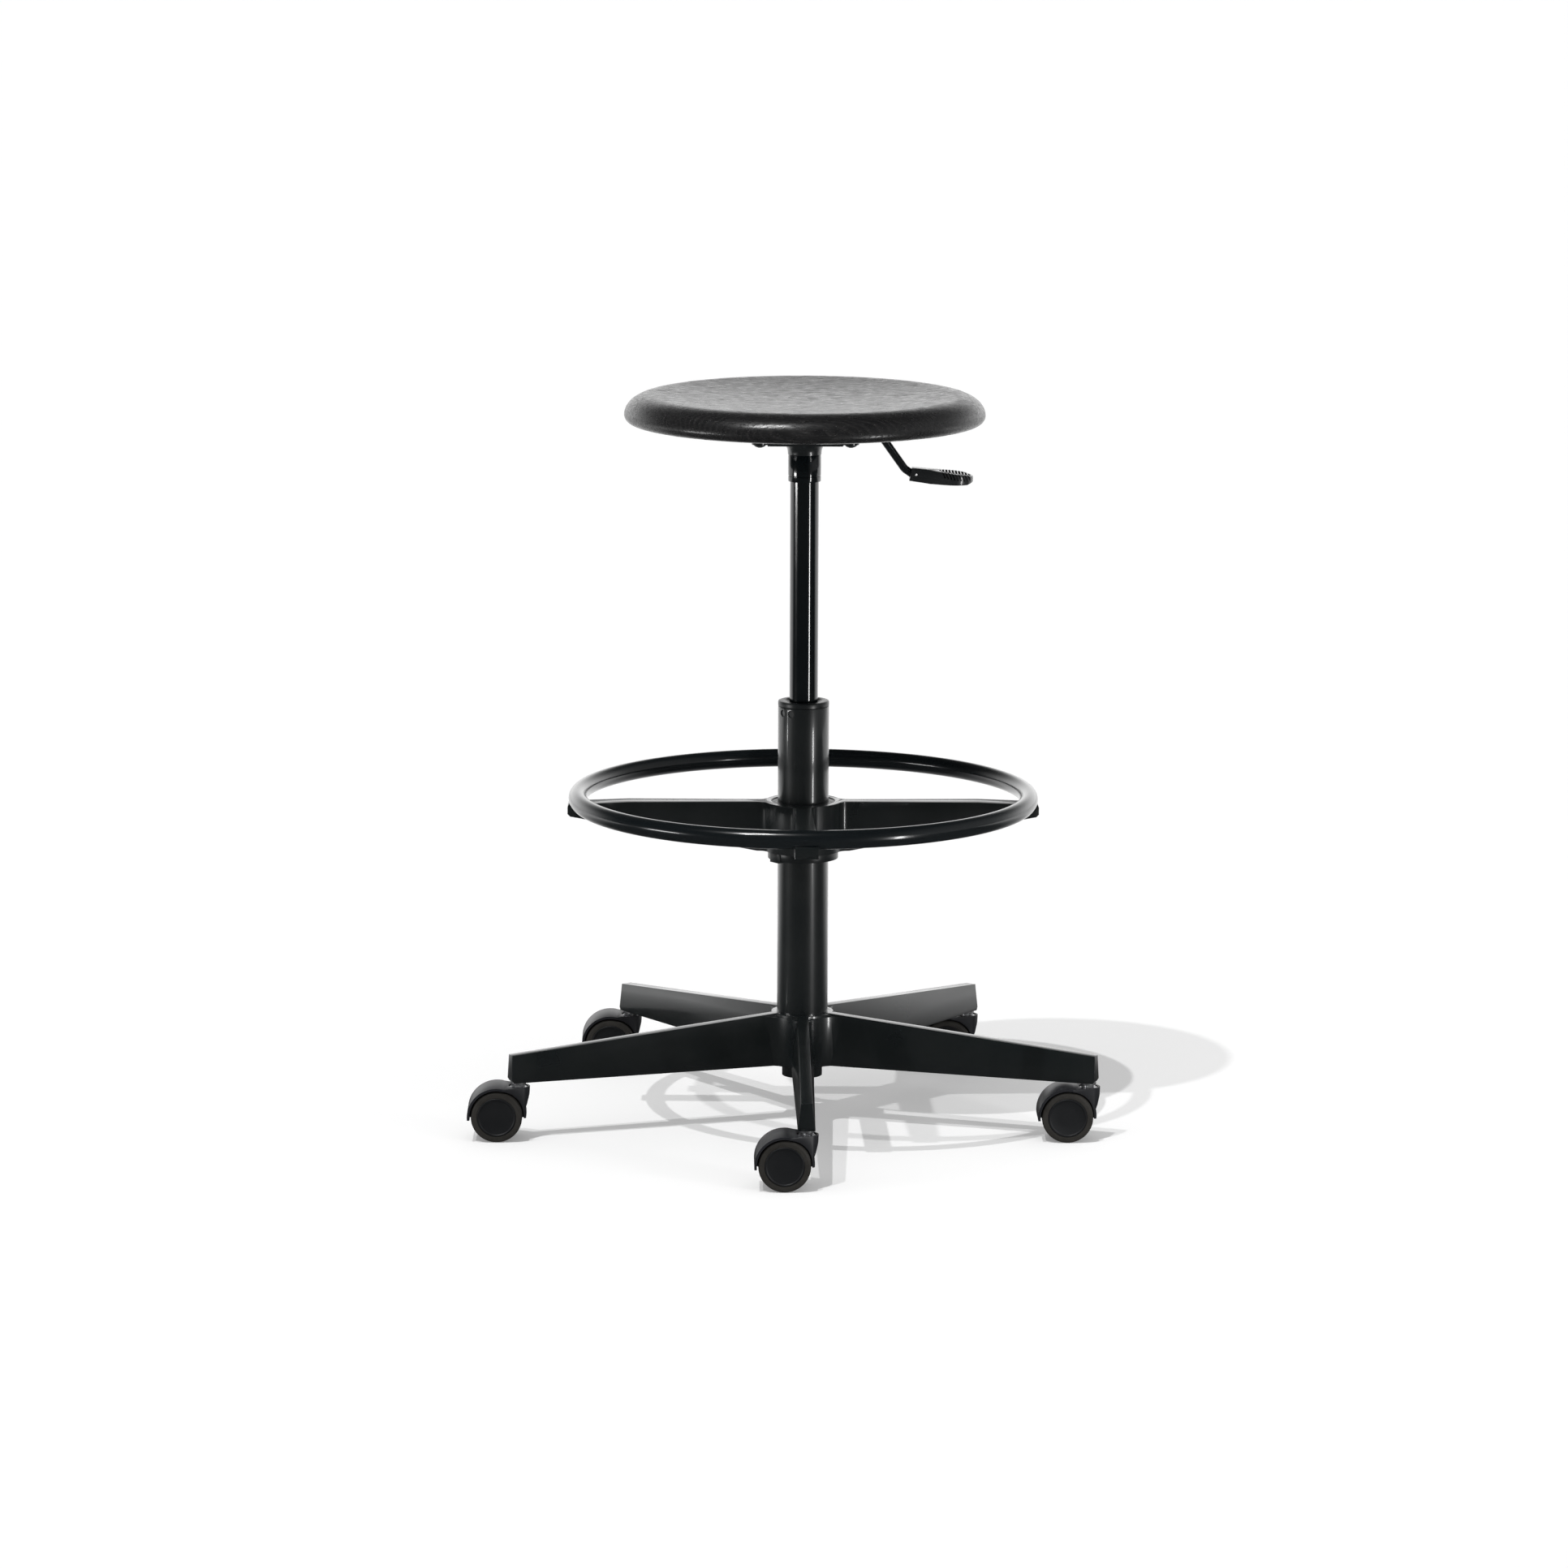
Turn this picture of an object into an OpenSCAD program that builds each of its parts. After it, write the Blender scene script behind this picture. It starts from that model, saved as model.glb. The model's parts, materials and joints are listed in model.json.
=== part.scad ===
// Height-adjustable swivel stool: dished round timber seat, gas lift, sliding footring,
// five-arm base on hooded twin-wheel casters.
// Origin on the floor at the column axis, +Z up, one arm towards -Y, casters trailing to -X.

/* [Seat] */
// Seat diameter over the rolled edge
seat_d = 351.2; // [330:1:390]
// Height of the seat rim above the floor, lift fully raised
seat_top = 720; // [705:1:735]
// Seat thickness at the rim crest
seat_t = 27; // [25:0.5:32]
// Depth of the dish in the seat top
seat_dish = 7; // [4:0.5:9]

/* [Lift] */
// Outer diameter of the column tube
column_d = 50; // [48:0.5:52]
// Height of the top of the column
column_top = 418.7; // [405:1:430]
// Outer diameter of the gas cylinder
cylinder_d = 28; // [26:0.5:30]
// Diameter of the piston rod
rod_d = 10; // [9:0.5:11]

/* [Lever] */
// Diameter of the lever rod
lever_d = 8; // [7:0.5:9]
// Distance from the column axis to the tip of the paddle
lever_reach = 164; // [155:1:175]

/* [Footring] */
// Diameter of the footring at the tube centre
ring_d = 442.4; // [420:1:460]
// Diameter of the footring tube
ring_tube_d = 18.2; // [17:0.2:20]
// Height of the footring tube centre
ring_z = 322; // [300:1:340]

/* [Base] */
// Radius of the base at the arm tips
base_r = 300.8; // [290:1:315]
// Height of the hub top above the floor
hub_top = 107.9; // [104:0.5:114]
// Width of the flat ridge on each arm
arm_ridge = 11; // [9:0.5:13]

/* [Casters] */
// Wheel diameter
wheel_d = 50; // [46:0.5:52]
// Horizontal distance from stem axis to wheel axle
caster_trail = 20.8; // [19:0.2:23]
// Width over both wheels
caster_w = 41; // [39:0.5:44]

/* [Hidden] */
$fn = 96;
eps = 0.5;
run_gap = 0.05;
slide_gap = 0.08;
face_gap = 0.3;

// seat
seat_r = seat_d / 2;
seat_bottom = seat_top - seat_t;
roll_w = 27.7;
roll_up = 0.73 * seat_t;
roll_under = seat_t - roll_up;
under_w = 8;
crest_r = seat_r - roll_w;
arc_steps = 12;

// seat plate, measured down from the underside of the seat
plate_half = 64;
plate_flange = 6;
box_half = 48;
plate_bottom = seat_bottom - 18;
box_floor = 4;
box_wall = 4;
screw_xy = 44;
screw_d = 6;
screw_head_d = 12;
screw_head_h = 3;
screw_in = 14;
boss_r = 8;
boss_bottom = plate_bottom + 1.5;
neck_bottom = seat_bottom - 31.4;
flare = 12;

// casters
wheel_r = wheel_d / 2;
half_w = caster_w / 2;
web_half = 5.2;
web_disc_r = 14;
tyre_t = 6;
core_r = wheel_r - tyre_t;
axle_r = 3;
hood_r = wheel_r + 3.8;
hood_in = wheel_r + 1.4;
hood_half = half_w + 0.3;
hood_tip_z = wheel_r - 3;
stem_boss_r = 11.5;
stem_body_r = 4.5;
stem_pin_r = 5;
roof_z = wheel_r + hood_r;
roof_gap = 2.7;
cup_r = 9.4;
roof_lean = 6;

// base
arm_count = 5;
col_r = column_d / 2;
arm_bottom = roof_z + roof_gap;
hub_r = col_r + 6.2;
arm_fall = 0.0915;
arm_draft = 0.108;
star_under = 6;
web_inset = 0.4;
stem_circle = base_r - 8.4;
stem_cover = 9.5;
stem_pin_l = hub_top - (stem_circle - hub_r) * arm_fall - arm_bottom - stem_cover;
stem_foot = wheel_r + 8;
washer_r = 7.6;
washer_h = 2.4;
cup_z = arm_bottom - 6.5;
cup_plate_r = 8.6;
cup_plate_h = 1.4;
fork_fillet = (hub_r * sin(36) - arm_ridge / 2 + web_inset) / (1 - sin(36));
boss_d = 39.5;
boss_z = arm_bottom - 12.9;

// gas lift
cyl_r = cylinder_d / 2;
rod_r = rod_d / 2;
sleeve_bottom = seat_bottom - 57.9;
sleeve_r = cyl_r + 2.1;
neck_r = sleeve_r + 0.4;
sleeve_top = seat_bottom - 17;
sleeve_step_r = cyl_r + 1;
taper_z = sleeve_bottom + 5;
cyl_top = seat_bottom - 19;
cyl_tip_r = cyl_r - 0.8;
bore_r = cyl_r - 2;
bore_top = cyl_top - 14;
valve_r = 6;
valve_h = 15;
pin_r = 2.5;
lever_z = seat_bottom - 10;
pin_top = lever_z - lever_d / 2 - face_gap;
tube_wall = 2;
col_in = col_r - tube_wall;
flange_h = 5.2;
tube_top = column_top - flange_h;
bush_len = 74;
cyl_bottom = column_top - 84;
guide_h = 15;
piston_h = 12;
piston_z = cyl_bottom + guide_h + 2;
socket_z = arm_bottom + 7.5;
cup_h = 7;
race_h = 2.1;
race_r = 14;
cage_z = socket_z + cup_h + race_h;
ball_r = 1.9;
ball_count = 14;
shoulder_z = cage_z + 6.8;
rod_tip_r = rod_r - 1;
clip_z = socket_z - 4;
clip_h = 1.5;
clip_groove_r = rod_tip_r - 0.7;
rod_end = socket_z - 9;

// lever
lever_r = lever_d / 2;
pivot_x = 18;
pivot_r = 1.5;
bend_x = 71.8;
bend_turn = 54.5;
bend_r = 12;
bend_start = bend_x - bend_r * tan(bend_turn / 2);
lever_back = -6;
drop_len = 36;
kick_turn = 20;
kick_r = 10;
kick_len = 10;
paddle_x = 101.6;
paddle_r = 17;
paddle_z = seat_bottom - 60;

// footring
ring_r = ring_d / 2;
ring_tube_r = ring_tube_d / 2;
ring_wall = 1.5;
spider_top = ring_z - 3.2;
spider_bottom = ring_z - 52;
spider_hub_r = col_r + 12.5;
bush_r = col_r + 6.3;
spoke_w = 15.2;
spoke_tip_w = 22.4;
spoke_end = ring_r + ring_tube_r + 0.8;
spoke_under = ring_z - 17.6;
spoke_fillet = 10;
clamp_r = col_r + 9.5;
clamp_bottom = spider_bottom - 7.6;
slit_w = 3;
ring_screw_r = 2.5;
ring_screw_head_r = 4.5;

function arm_angle(i) = -90 + 72 * (i - 1);
function hub_drop(r) = (r - hub_r) * arm_fall;
function seat_arc(w, h, z, from, to) =
    [for (i = [0:arc_steps]) let (a = from + (to - from) * i / arc_steps)
        [seat_r - w + w * cos(a), z + h * sin(a)]];

module rounded_square(half, r) {
    square([2 * half, 2 * (half - r)], center = true);
    square([2 * (half - r), 2 * half], center = true);
    for (x = [-1, 1], y = [-1, 1]) translate([x * (half - r), y * (half - r)]) circle(r);
}

module ring(outer, inner, h) {
    linear_extrude(h) difference() {
        circle(outer);
        circle(inner);
    }
}

module four_corners(d) {
    for (x = [-1, 1], y = [-1, 1]) translate([x * d, y * d, 0]) children();
}

// profile given as radius and height, turned side on and extruded across Y
module side_slab(half) {
    rotate([90, 0, 0]) linear_extrude(2 * half, center = true) children();
}

// ---------------------------------------------------------------- seat

module seat() {
    dish_steps = 16;
    mid_z = seat_bottom + roll_under;
    dish_line = [for (i = [dish_steps - 1:-1:0]) let (r = crest_r * i / dish_steps)
        [r, seat_top - seat_dish * (1 - pow(i / dish_steps, 2))]];
    color("#2b2a29") difference() {
        rotate_extrude() polygon(concat(
            [[0, seat_bottom]],
            seat_arc(under_w, roll_under, mid_z, -90, 0),
            seat_arc(roll_w, roll_up, mid_z, 7, 90),
            dish_line));
        four_corners(screw_xy) translate([0, 0, seat_bottom - eps]) cylinder(r = screw_d / 2, h = screw_in + eps);
    }
}

module seat_plate() {
    color("#26282a") difference() {
        union() {
            translate([0, 0, seat_bottom - plate_flange]) linear_extrude(plate_flange) rounded_square(plate_half, 18);
            translate([0, 0, plate_bottom]) linear_extrude(12) rounded_square(box_half, 14);
            four_corners(screw_xy) translate([0, 0, boss_bottom]) cylinder(r = boss_r, h = seat_bottom - boss_bottom - 1);
            rotate_extrude() difference() {
                translate([0, neck_bottom]) square([neck_r + flare, plate_bottom - neck_bottom + 1]);
                translate([neck_r + flare, plate_bottom - flare]) circle(flare);
                translate([neck_r, neck_bottom - eps]) square([flare + eps, plate_bottom - flare - neck_bottom + eps]);
            }
        }
        difference() {
            translate([0, 0, plate_bottom + box_floor]) linear_extrude(30) rounded_square(box_half - box_wall, 10);
            four_corners(screw_xy) translate([0, 0, plate_bottom]) cylinder(r = boss_r, h = 40);
            for (y = [-1, 1]) translate([pivot_x - 6, y * 9 - 3, plate_bottom]) cube([12, 6, 16]);
        }
        four_corners(screw_xy) translate([0, 0, plate_bottom - eps])
            cylinder(r = boss_r + face_gap, h = boss_bottom - plate_bottom + eps);
        translate([0, 0, neck_bottom - eps]) cylinder(r = sleeve_step_r, h = sleeve_top - neck_bottom + eps);
        translate([0, 0, plate_bottom - eps]) cylinder(r = 8, h = 12);
        translate([-9, -6, plate_bottom + 2]) cube([pivot_x + 13, 12, 20]);
        translate([pivot_x, -6, plate_bottom + box_floor - 0.2]) cube([80, 12, 20]);
        four_corners(screw_xy) translate([0, 0, boss_bottom - eps]) cylinder(r = screw_d / 2, h = 30);
        translate([pivot_x, -15, lever_z]) rotate([-90, 0, 0]) cylinder(r = pivot_r, h = 30);
    }
}

module seat_screws() {
    color("#17181a") four_corners(screw_xy) translate([0, 0, boss_bottom]) {
        cylinder(r = screw_d / 2, h = seat_bottom - boss_bottom + screw_in);
        rotate_extrude() intersection() {
            translate([0, -screw_head_h]) square([screw_head_d / 2, screw_head_h]);
            translate([0, 4.5]) circle(7.5);
        }
    }
}

// ---------------------------------------------------------------- gas lift

module neck_sleeve() {
    color("#0e0f10") difference() {
        union() {
            translate([0, 0, sleeve_bottom]) cylinder(r = sleeve_r, h = neck_bottom - sleeve_bottom);
            translate([0, 0, neck_bottom - 1]) cylinder(r = sleeve_step_r, h = sleeve_top - neck_bottom + 1);
        }
        translate([0, 0, sleeve_bottom - eps]) cylinder(r = cyl_r, h = taper_z - sleeve_bottom + eps);
        translate([0, 0, taper_z]) cylinder(r1 = cyl_r, r2 = cyl_tip_r, h = cyl_top - taper_z);
        translate([0, 0, cyl_top - eps]) cylinder(r = cyl_tip_r, h = sleeve_top - cyl_top + 2 * eps);
        translate([0, 0, sleeve_bottom + 5]) ring(sleeve_r + 1, sleeve_r - 0.35, 1.1);
    }
}

module gas_cylinder() {
    color("#0c0d0e") difference() {
        union() {
            translate([0, 0, cyl_bottom]) cylinder(r = cyl_r, h = taper_z - cyl_bottom);
            translate([0, 0, taper_z]) cylinder(r1 = cyl_r, r2 = cyl_tip_r, h = cyl_top - taper_z);
        }
        translate([0, 0, cyl_bottom - eps]) cylinder(r = bore_r, h = bore_top - cyl_bottom + eps);
        translate([0, 0, bore_top - eps]) cylinder(r = valve_r, h = cyl_top - bore_top + 2 * eps);
    }
}

module cylinder_guide() {
    color("#8d9092") translate([0, 0, cyl_bottom]) ring(bore_r, rod_r + run_gap, guide_h);
}

module valve_body() {
    color("#a7a9ab") difference() {
        union() {
            translate([0, 0, bore_top - valve_h]) cylinder(r = bore_r, h = valve_h);
            translate([0, 0, bore_top - 1]) cylinder(r = valve_r, h = cyl_top - bore_top + 1);
        }
        translate([0, 0, bore_top - valve_h - eps]) cylinder(r = pin_r + run_gap, h = valve_h + 30);
    }
}

module valve_pin() {
    color("#c8cacc") translate([0, 0, bore_top - valve_h + 4]) cylinder(r = pin_r, h = pin_top - bore_top + valve_h - 4);
}

module piston_rod() {
    color("#b9bbbd") difference() {
        union() {
            translate([0, 0, rod_end]) cylinder(r = rod_tip_r, h = shoulder_z - rod_end + 1);
            translate([0, 0, shoulder_z]) cylinder(r = rod_r, h = piston_z + piston_h + 2 - shoulder_z);
        }
        translate([0, 0, clip_z]) ring(rod_r + 1, clip_groove_r, clip_h);
    }
}

module piston() {
    color("#6f7274") translate([0, 0, piston_z]) ring(bore_r - slide_gap, rod_r, piston_h);
}

module guide_bush() {
    relief_z = tube_top - bush_len + 16;
    color("#141516") difference() {
        union() {
            translate([0, 0, tube_top - bush_len]) cylinder(r = col_in, h = bush_len + 1);
            translate([0, 0, tube_top]) cylinder(r = col_r, h = flange_h - 1);
            translate([0, 0, column_top - 1]) cylinder(r1 = col_r, r2 = col_r - 1, h = 1);
        }
        translate([0, 0, tube_top - bush_len - eps]) cylinder(r = cyl_r + slide_gap, h = bush_len + flange_h + 2 * eps);
        translate([0, 0, relief_z]) cylinder(r = cyl_r + 2, h = bush_len - 40);
        translate([0, 0, column_top - 2.2]) cylinder(r1 = cyl_r + slide_gap, r2 = cyl_r + 4, h = 2.3);
    }
}

module column_tube() {
    color("#2a2c2e") difference() {
        translate([0, 0, socket_z]) ring(col_r, col_in, tube_top - socket_z);
        for (a = [-146, -120.5, 34, 59.5]) rotate([0, 0, a])
            translate([col_r - 0.8, 0, column_top - 10.7]) rotate([0, 90, 0]) cylinder(r = 3.4, h = 3);
    }
}

module column_cup() {
    color("#55585a") translate([0, 0, socket_z]) difference() {
        cylinder(r = col_in, h = cup_h);
        translate([0, 0, -eps]) cylinder(r = rod_tip_r + 1, h = cup_h + 2 * eps);
        translate([0, 0, -eps]) cylinder(r = 10, h = 2 + eps);
    }
}

module bearing_race_lower() {
    color("#9a9c9e") translate([0, 0, socket_z + cup_h]) ring(race_r, rod_tip_r + 0.8, race_h);
}

module bearing_balls() {
    pitch_r = race_r - 4.6;
    color("#caa45a") translate([0, 0, cage_z]) {
        ring(race_r - 0.5, rod_tip_r + 1, 3);
        for (i = [1:ball_count]) rotate([0, 0, i * 360 / ball_count]) translate([pitch_r, 0, ball_r + 0.2]) sphere(ball_r);
    }
}

module bearing_race_upper() {
    color("#9a9c9e") translate([0, 0, shoulder_z - race_h]) ring(race_r, rod_tip_r, race_h);
}

module retaining_clip() {
    color("#3d4043") translate([0, 0, clip_z]) difference() {
        ring(rod_tip_r + 3.5, clip_groove_r, clip_h);
        translate([0, -clip_groove_r * 0.8, -eps]) cube([20, clip_groove_r * 1.6, clip_h + 2 * eps]);
    }
}

// ---------------------------------------------------------------- lever

module lever_rod() {
    lap = 0.5;
    bend_core = lever_r - run_gap;
    color("#1b1c1e") difference() {
        union() {
            translate([lever_back, 0, lever_z]) rotate([0, 90, 0])
                cylinder(r = lever_r, h = bend_start - lever_back + lap);
            translate([bend_start, 0, lever_z - bend_r]) rotate([90, 0, 0]) rotate([0, 0, 90 - bend_turn])
                rotate_extrude(angle = bend_turn) translate([bend_r, 0]) circle(bend_core);
            on_drop() translate([-lap, 0, bend_r]) rotate([0, 90, 0]) cylinder(r = lever_r, h = drop_len + 2 * lap);
            at_kick() rotate([90, 0, 0]) rotate([0, 0, -90])
                rotate_extrude(angle = kick_turn) translate([kick_r, 0]) circle(bend_core);
            lever_tip(lap);
        }
        translate([pivot_x, -20, lever_z]) rotate([-90, 0, 0]) cylinder(r = pivot_r + run_gap, h = 40);
    }
}

// along the straight part of the rod below its first bend
module on_drop() {
    translate([bend_start, 0, lever_z - bend_r]) rotate([0, bend_turn, 0]) children();
}

// centre of the second bend, which turns the rod towards the paddle
module at_kick() {
    on_drop() translate([drop_len, 0, bend_r + kick_r]) children();
}

// the last straight of the rod, inside the paddle
module lever_tip(lap) {
    at_kick() rotate([0, -kick_turn, 0]) translate([-lap, 0, -kick_r]) rotate([0, 90, 0])
        cylinder(r = lever_r, h = kick_len + lap);
}

module lever_pin() {
    color("#b0b2b4") translate([pivot_x, -12, lever_z]) rotate([-90, 0, 0]) cylinder(r = pivot_r, h = 24);
}

module lever_paddle() {
    tip = lever_reach;
    spoon_x = tip - paddle_r;
    color("#161719") difference() {
        intersection() {
            side_slab(40) polygon([
                [paddle_x, paddle_z + 3.3], [paddle_x + 2.8, paddle_z + 15.5], [paddle_x + 16, paddle_z + 14.4],
                [tip - 8, paddle_z + 9.6], [tip, paddle_z + 7.4], [tip, paddle_z + 2.4], [tip - 6, paddle_z],
                [paddle_x + 34, paddle_z], [paddle_x + 20, paddle_z + 0.4]]);
            linear_extrude(seat_top) {
                translate([spoon_x, 0]) circle(paddle_r);
                polygon([[paddle_x, -7], [paddle_x + 18, -7.5], [spoon_x - 4, -paddle_r * 0.97],
                    [spoon_x, -paddle_r], [spoon_x, paddle_r], [spoon_x - 4, paddle_r * 0.97],
                    [paddle_x + 18, 7.5], [paddle_x, 7]]);
            }
        }
        lever_tip(0);
        translate([paddle_x + 7, -20, paddle_z + 9]) rotate([-90, 0, 0]) cylinder(r = 1.25, h = 40);
    }
}

// ---------------------------------------------------------------- footring

module spoke() {
    intersection() {
        side_slab(40) polygon([
            [0, spider_top], [ring_r - 50, spider_top], [spoke_end - 1, spider_top - 2.4],
            [spoke_end, spider_top - 5], [spoke_end, spoke_under + 2.5], [spoke_end - 2.5, spoke_under],
            [spoke_end - 8, spoke_under - 1], [spider_hub_r + 8, spider_bottom], [0, spider_bottom]]);
        linear_extrude(ring_z) polygon([
            [0, -spoke_w / 2], [60, -spoke_w / 2], [ring_r - 6, -spoke_tip_w / 2], [spoke_end + 1, -spoke_tip_w / 2],
            [spoke_end + 1, spoke_tip_w / 2], [ring_r - 6, spoke_tip_w / 2], [60, spoke_w / 2], [0, spoke_w / 2]]);
    }
}

module spoke_fillets() {
    side = spoke_w / 2 + spoke_fillet;
    along = sqrt(pow(spider_hub_r + spoke_fillet, 2) - side * side);
    translate([0, 0, spider_bottom]) linear_extrude(spider_top - spider_bottom)
        for (m = [-1, 1]) scale([1, m]) difference() {
            polygon([[0, 0], [along, 0], [along, side]]);
            translate([along, side]) circle(spoke_fillet);
        }
}

module ring_path(r) {
    translate([0, 0, ring_z]) rotate_extrude() translate([ring_r, 0]) circle(r);
}

module footring_spider() {
    color("#222426") difference() {
        union() {
            translate([0, 0, spider_bottom]) cylinder(r = spider_hub_r, h = spider_top - spider_bottom);
            for (a = [0:90:270]) rotate([0, 0, a]) {
                spoke();
                spoke_fillets();
            }
        }
        translate([0, 0, spider_bottom - eps]) cylinder(r = bush_r + run_gap, h = spider_top - spider_bottom + 2 * eps);
        ring_path(ring_tube_r);
        for (a = [0:90:270]) rotate([0, 0, a]) translate([ring_r, 0, 0]) {
            cylinder(r = ring_screw_r, h = ring_z);
            translate([0, 0, spoke_under - 10]) cylinder(r = ring_screw_head_r, h = 14);
        }
    }
}

module footring_tube() {
    color("#1d1e20") difference() {
        ring_path(ring_tube_r);
        ring_path(ring_tube_r - ring_wall);
        for (a = [0:90:270]) rotate([0, 0, a]) translate([ring_r, 0, ring_z - 20]) cylinder(r = ring_screw_r, h = 20);
    }
}

module footring_screws() {
    color("#8b8e90") for (a = [0:90:270]) rotate([0, 0, a]) translate([ring_r, 0, 0]) {
        translate([0, 0, spoke_under + 4]) cylinder(r = ring_screw_r, h = ring_z - spoke_under - 4);
        translate([0, 0, spoke_under + 1.2]) cylinder(r = ring_screw_head_r, h = 2.8);
    }
}

module footring_bush() {
    color("#17181a") difference() {
        union() {
            translate([0, 0, spider_bottom - face_gap - 1]) cylinder(r = bush_r, h = spider_top - spider_bottom + face_gap + 0.4);
            translate([0, 0, clamp_bottom]) cylinder(r = clamp_r, h = spider_bottom - face_gap - clamp_bottom);
            rotate([0, 0, -142]) translate([bush_r - 2, -6.5, clamp_bottom - 1.5])
                cube([clamp_r - bush_r + 3.6, 13, spider_bottom - face_gap - clamp_bottom + 1.5]);
        }
        translate([0, 0, clamp_bottom - 5]) cylinder(r = col_r + slide_gap, h = 80);
        translate([0, 0, clamp_bottom - 5]) translate([-slit_w / 2, 10, 0]) cube([slit_w, 40, 80]);
    }
}

// ---------------------------------------------------------------- base

module arm() {
    length = base_r;
    depth = 70;
    root_z = hub_top + hub_r * arm_fall;
    intersection() {
        translate([0, 0, root_z]) rotate([0, atan(arm_fall), 0]) translate([-20, 0, 0])
            rotate([90, 0, 90]) linear_extrude(length + 40) polygon([
                [-arm_ridge / 2, 0], [arm_ridge / 2, 0],
                [arm_ridge / 2 + arm_draft * depth, -depth], [-arm_ridge / 2 - arm_draft * depth, -depth]]);
        side_slab(40) polygon([
            [0, arm_bottom - star_under], [length - 6, arm_bottom - star_under], [length, arm_bottom + 3],
            [length - 1.4, hub_top], [length - 1.4, hub_top + 20], [0, hub_top + 20]]);
    }
}

// a pentagon with a round bite at each corner, which blends each arm into the next
module hub_web() {
    half = arm_ridge / 2 - web_inset;
    reach = (half + fork_fillet) / tan(36);
    corner = reach / cos(36);
    floor_z = arm_bottom - star_under;
    translate([0, 0, floor_z]) linear_extrude(hub_top - floor_z - hub_drop(reach) - web_inset) difference() {
        rotate(arm_angle(1) + 36) circle(corner, $fn = arm_count);
        for (i = [1:arm_count]) rotate(arm_angle(i) + 36) translate([corner, 0]) circle(fork_fillet);
    }
}

// arms, web and hub run on below the arms' underside and are cut off there together
module star() {
    difference() {
        union() {
            translate([0, 0, arm_bottom - star_under]) cylinder(r = hub_r - 0.7, h = hub_top - arm_bottom + star_under);
            for (i = [1:arm_count]) rotate([0, 0, arm_angle(i)]) arm();
            hub_web();
        }
        translate([0, 0, arm_bottom - 30]) cylinder(r = base_r + 20, h = 30);
    }
}

module base_star() {
    color("#232527") difference() {
        union() {
            star();
            rotate_extrude() polygon([[0, boss_z], [boss_d / 2, boss_z], [boss_d / 2, arm_bottom - 3],
                [boss_d / 2 + 3, arm_bottom], [boss_d / 2, arm_bottom + 3], [0, arm_bottom + 3]]);
        }
        translate([0, 0, socket_z]) cylinder(r = col_r, h = 80);
        translate([0, 0, boss_z - eps]) cylinder(r = 15, h = 40);
        for (i = [1:arm_count]) rotate([0, 0, arm_angle(i)]) translate([stem_circle, 0, arm_bottom - eps])
            cylinder(r = stem_pin_r, h = stem_pin_l + eps);
    }
}

// ---------------------------------------------------------------- casters

module at_caster(i) {
    translate([stem_circle * cos(arm_angle(i)), stem_circle * sin(arm_angle(i)), 0]) children();
}

module stem() {
    color("#c9cbcd") {
        translate([0, 0, arm_bottom]) cylinder(r = stem_pin_r, h = stem_pin_l);
        translate([0, 0, arm_bottom - washer_h]) cylinder(r = washer_r, h = washer_h);
        translate([0, 0, stem_foot]) cylinder(r = stem_body_r, h = arm_bottom - stem_foot + 1);
        translate([0, 0, cup_z + face_gap]) cylinder(r = cup_plate_r, h = cup_plate_h);
    }
}

module housing_outline() {
    translate([-caster_trail, -40, wheel_r]) rotate([-90, 0, 0]) cylinder(r = hood_r, h = 80);
    side_slab(40) polygon([[-caster_trail, wheel_r],
        [-caster_trail + (hood_r - 0.6) * sin(roof_lean), wheel_r + (hood_r - 0.6) * cos(roof_lean)],
        [stem_boss_r, roof_z - 1.4], [stem_boss_r - 0.4, wheel_r + 20], [stem_boss_r - 2.6, wheel_r + 11],
        [stem_boss_r - 5.6, wheel_r + 3], [stem_boss_r - 8.5, wheel_r - 3]]);
}

// everything below the hood's tip goes, but for the web's disc round the axle
module housing_cuts() {
    difference() {
        translate([-caster_trail - 60, -40, hood_tip_z - 60]) cube([120, 80, 60]);
        translate([-caster_trail, -41, wheel_r]) rotate([-90, 0, 0]) cylinder(r = web_disc_r, h = 82);
    }
}

module housing_plan() {
    corner_x = -15;
    corner_y = hood_half;
    dist = sqrt(corner_x * corner_x + corner_y * corner_y);
    touch = atan2(corner_y, corner_x) - acos(stem_boss_r / dist);
    tx = stem_boss_r * cos(touch);
    ty = stem_boss_r * sin(touch);
    cylinder(r = stem_boss_r, h = 90);
    linear_extrude(90) polygon([[-80, -corner_y], [corner_x, -corner_y], [tx, -ty], [tx, ty],
        [corner_x, corner_y], [-80, corner_y]]);
}

module wheel_well(side) {
    translate([-caster_trail, side * web_half, wheel_r]) rotate([side * -90, 0, 0]) cylinder(r = hood_in, h = 40);
}

module housing() {
    color("#202224") difference() {
        intersection() {
            housing_outline();
            housing_plan();
        }
        housing_cuts();
        wheel_well(1);
        wheel_well(-1);
        translate([0, 0, cup_z]) cylinder(r = cup_r, h = 20);
        translate([0, 0, stem_foot - 1]) cylinder(r = stem_body_r + run_gap, h = 40);
        translate([-caster_trail, -20, wheel_r]) rotate([-90, 0, 0]) cylinder(r = axle_r, h = 40);
    }
}

module axle() {
    color("#a5a7a9") translate([-caster_trail, -half_w + 3, wheel_r]) rotate([-90, 0, 0])
        cylinder(r = axle_r, h = caster_w - 6);
}

// wheel parts are turned about their own axis and then set against the web
module on_axle(side) {
    translate([-caster_trail, 0, wheel_r]) rotate([side * -90, 0, 0]) children();
}

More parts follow.
